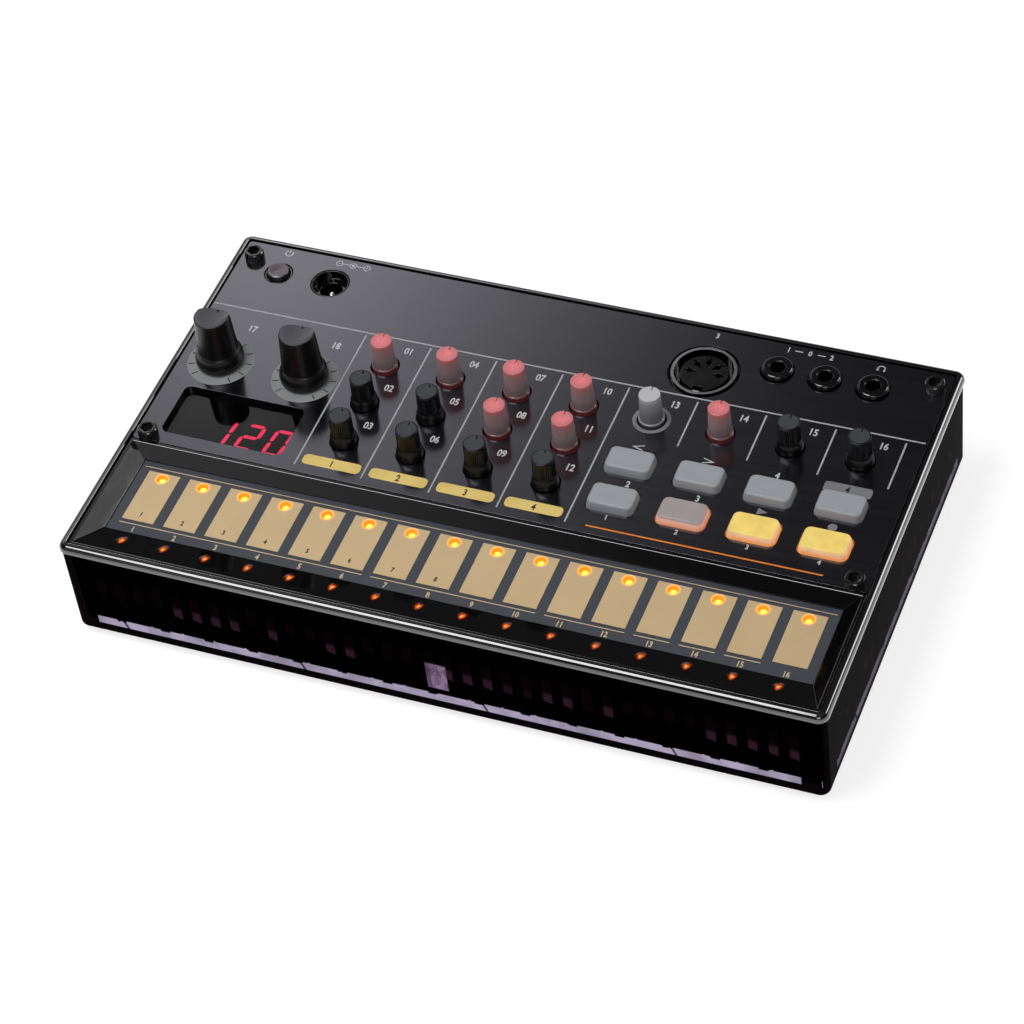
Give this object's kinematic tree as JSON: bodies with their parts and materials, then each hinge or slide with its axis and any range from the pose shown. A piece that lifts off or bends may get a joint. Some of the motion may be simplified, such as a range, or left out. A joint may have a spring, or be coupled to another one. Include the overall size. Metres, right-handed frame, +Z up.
{
  "type": "drum machine",
  "caption": "Desk-top drum machine: tapered smoked tray case, sunk touch-pad strip, dark metal panel with knobs, soft keys, digital display and jacks along the back.",
  "frame": {"origin": "middle of the footprint, on the surface the rubber feet stand on", "axes": "+X towards the player's right, +Y from the touch strip to the jacks, +Z up out of the panel"},
  "size_m": [0.193, 0.115, 0.046],
  "materials": {
    "smoked_case": "smoked, polished",
    "gloss_bezel": "polished",
    "dark_panel": "fine brushed, dark anodised",
    "black_screw": "blackened",
    "foot_rubber": "matt",
    "brass": "turned",
    "steel": "plated",
    "strip_board": "fine woven, printed",
    "pad_gold": "satin",
    "amber_lens": "clear, lit",
    "circuit_board": "lacquered",
    "smoked_lens": "smoked, clear",
    "display_body": "matt",
    "component_black": "moulded",
    "jack_black": "semi-gloss",
    "bright_metal": "bright",
    "cone_paper": "paper-like",
    "magnet_iron": "plated",
    "cable_grey": "flat",
    "clear_knob": "clear, fine ridged, lit from below",
    "black_knob": "fine ridged",
    "key_silicone": "satin, translucent",
    "button_grey": "satin"
  },
  "bodies": {
    "case": {"lower_case": "smoked_case", "rubber_feet": "foot_rubber", "threaded_inserts": "brass", "top_panel": "dark_panel", "panel_screws": "black_screw", "board_fasteners": "steel", "strip_bezel": "gloss_bezel", "touch_board": "strip_board", "touch_pads": "pad_gold", "step_leds": "amber_lens", "main_board": "circuit_board", "display_window": "smoked_lens", "display_module": "display_body", "small_pots": "component_black", "large_pots": "steel", "key_switches": "component_black", "power_switch": "component_black", "din_body": "component_black", "din_ring": "bright_metal", "din_contacts": "brass", "sync_in_jack": "jack_black", "sync_out_jack": "jack_black", "headphone_jack": "jack_black", "dc_jack": "jack_black", "dc_jack_pin": "steel", "speaker_frame": "steel", "speaker_cone": "cone_paper", "speaker_magnet": "magnet_iron", "battery_contacts": "steel", "ribbon_cable": "cable_grey"},
    "kick_click": {"kick_click_knob": "clear_knob"},
    "kick_pitch": {"kick_pitch_knob": "black_knob"},
    "kick_decay": {"kick_decay_knob": "black_knob"},
    "snare_snappy": {"snare_snappy_knob": "clear_knob"},
    "snare_pitch": {"snare_pitch_knob": "black_knob"},
    "snare_decay": {"snare_decay_knob": "black_knob"},
    "tom_low_pitch": {"tom_low_pitch_knob": "clear_knob"},
    "tom_high_pitch": {"tom_high_pitch_knob": "clear_knob"},
    "tom_decay": {"tom_decay_knob": "black_knob"},
    "hat_closed_decay": {"hat_closed_decay_knob": "clear_knob"},
    "hat_open_decay": {"hat_open_decay_knob": "clear_knob"},
    "hat_grain": {"hat_grain_knob": "black_knob"},
    "sample_speed": {"sample_speed_knob": "clear_knob"},
    "tempo": {"tempo_knob": "clear_knob"},
    "part_level": {"part_level_knob": "black_knob"},
    "volume": {"volume_knob": "black_knob"},
    "stutter_time": {"stutter_time_knob": "black_knob", "stutter_time_shaft": "steel"},
    "stutter_depth": {"stutter_depth_knob": "black_knob", "stutter_depth_shaft": "steel"},
    "part_back": {"part_back_key": "key_silicone"},
    "part_next": {"part_next_key": "key_silicone"},
    "mute": {"mute_key": "key_silicone"},
    "function": {"function_key": "key_silicone"},
    "memory": {"memory_key": "key_silicone"},
    "step_mode": {"step_mode_key": "key_silicone"},
    "play": {"play_key": "key_silicone"},
    "record": {"record_key": "key_silicone"},
    "power": {"power_button": "button_grey"},
    "battery_door": {"battery_door": "smoked_case"}
  },
  "joints": [
    {"name": "kick_click_turn", "type": "hinge", "parent": "case", "child": "kick_click", "pos_m": [-0.04265, 0.0216, 0.0304], "axis": [0, 0, 1], "range_deg": [-140, 140]},
    {"name": "kick_pitch_turn", "type": "hinge", "parent": "case", "child": "kick_pitch", "pos_m": [-0.04265, 0.0082, 0.0304], "axis": [0, 0, 1], "range_deg": [-140, 140]},
    {"name": "kick_decay_turn", "type": "hinge", "parent": "case", "child": "kick_decay", "pos_m": [-0.04265, -0.0052, 0.0304], "axis": [0, 0, 1], "range_deg": [-140, 140]},
    {"name": "snare_snappy_turn", "type": "hinge", "parent": "case", "child": "snare_snappy", "pos_m": [-0.02507, 0.0216, 0.0304], "axis": [0, 0, 1], "range_deg": [-140, 140]},
    {"name": "snare_pitch_turn", "type": "hinge", "parent": "case", "child": "snare_pitch", "pos_m": [-0.02507, 0.0082, 0.0304], "axis": [0, 0, 1], "range_deg": [-140, 140]},
    {"name": "snare_decay_turn", "type": "hinge", "parent": "case", "child": "snare_decay", "pos_m": [-0.02507, -0.0052, 0.0304], "axis": [0, 0, 1], "range_deg": [-140, 140]},
    {"name": "tom_low_pitch_turn", "type": "hinge", "parent": "case", "child": "tom_low_pitch", "pos_m": [-0.00749, 0.0216, 0.0304], "axis": [0, 0, 1], "range_deg": [-140, 140]},
    {"name": "tom_high_pitch_turn", "type": "hinge", "parent": "case", "child": "tom_high_pitch", "pos_m": [-0.00749, 0.0082, 0.0304], "axis": [0, 0, 1], "range_deg": [-140, 140]},
    {"name": "tom_decay_turn", "type": "hinge", "parent": "case", "child": "tom_decay", "pos_m": [-0.00749, -0.0052, 0.0304], "axis": [0, 0, 1], "range_deg": [-140, 140]},
    {"name": "hat_closed_decay_turn", "type": "hinge", "parent": "case", "child": "hat_closed_decay", "pos_m": [0.01009, 0.0216, 0.0304], "axis": [0, 0, 1], "range_deg": [-140, 140]},
    {"name": "hat_open_decay_turn", "type": "hinge", "parent": "case", "child": "hat_open_decay", "pos_m": [0.01009, 0.0082, 0.0304], "axis": [0, 0, 1], "range_deg": [-140, 140]},
    {"name": "hat_grain_turn", "type": "hinge", "parent": "case", "child": "hat_grain", "pos_m": [0.01009, -0.0052, 0.0304], "axis": [0, 0, 1], "range_deg": [-140, 140]},
    {"name": "sample_speed_turn", "type": "hinge", "parent": "case", "child": "sample_speed", "pos_m": [0.02766, 0.0216, 0.0304], "axis": [0, 0, 1], "range_deg": [-140, 140]},
    {"name": "tempo_turn", "type": "hinge", "parent": "case", "child": "tempo", "pos_m": [0.04524, 0.0216, 0.0304], "axis": [0, 0, 1], "range_deg": [-140, 140]},
    {"name": "part_level_turn", "type": "hinge", "parent": "case", "child": "part_level", "pos_m": [0.06282, 0.0216, 0.0304], "axis": [0, 0, 1], "range_deg": [-140, 140]},
    {"name": "volume_turn", "type": "hinge", "parent": "case", "child": "volume", "pos_m": [0.0804, 0.0216, 0.0304], "axis": [0, 0, 1], "range_deg": [-140, 140]},
    {"name": "stutter_time_turn", "type": "hinge", "parent": "case", "child": "stutter_time", "pos_m": [-0.0836, 0.0122, 0.0304], "axis": [0, 0, 1], "range_deg": [-140, 140]},
    {"name": "stutter_depth_turn", "type": "hinge", "parent": "case", "child": "stutter_depth", "pos_m": [-0.06055, 0.0122, 0.0304], "axis": [0, 0, 1], "range_deg": [-140, 140]},
    {"name": "part_back_press", "type": "slide", "parent": "case", "child": "part_back", "axis": [0, 0, -1], "range_m": [0, 0.0012], "stiffness_N_per_m": 150, "springref_m": -0.002},
    {"name": "part_next_press", "type": "slide", "parent": "case", "child": "part_next", "axis": [0, 0, -1], "range_m": [0, 0.0012], "stiffness_N_per_m": 150, "springref_m": -0.002},
    {"name": "mute_press", "type": "slide", "parent": "case", "child": "mute", "axis": [0, 0, -1], "range_m": [0, 0.0012], "stiffness_N_per_m": 150, "springref_m": -0.002},
    {"name": "function_press", "type": "slide", "parent": "case", "child": "function", "axis": [0, 0, -1], "range_m": [0, 0.0012], "stiffness_N_per_m": 150, "springref_m": -0.002},
    {"name": "memory_press", "type": "slide", "parent": "case", "child": "memory", "axis": [0, 0, -1], "range_m": [0, 0.0012], "stiffness_N_per_m": 150, "springref_m": -0.002},
    {"name": "step_mode_press", "type": "slide", "parent": "case", "child": "step_mode", "axis": [0, 0, -1], "range_m": [0, 0.0012], "stiffness_N_per_m": 150, "springref_m": -0.002},
    {"name": "play_press", "type": "slide", "parent": "case", "child": "play", "axis": [0, 0, -1], "range_m": [0, 0.0012], "stiffness_N_per_m": 150, "springref_m": -0.002},
    {"name": "record_press", "type": "slide", "parent": "case", "child": "record", "axis": [0, 0, -1], "range_m": [0, 0.0012], "stiffness_N_per_m": 150, "springref_m": -0.002},
    {"name": "power_press", "type": "slide", "parent": "case", "child": "power", "axis": [0, 0, -1], "range_m": [0, 0.0015], "stiffness_N_per_m": 150, "springref_m": -0.003},
    {"name": "battery_door_swing", "type": "hinge", "parent": "case", "child": "battery_door", "pos_m": [-0.018, 0.03165, 0.0016], "axis": [1, 0, 0], "range_deg": [0, 70]}
  ]
}
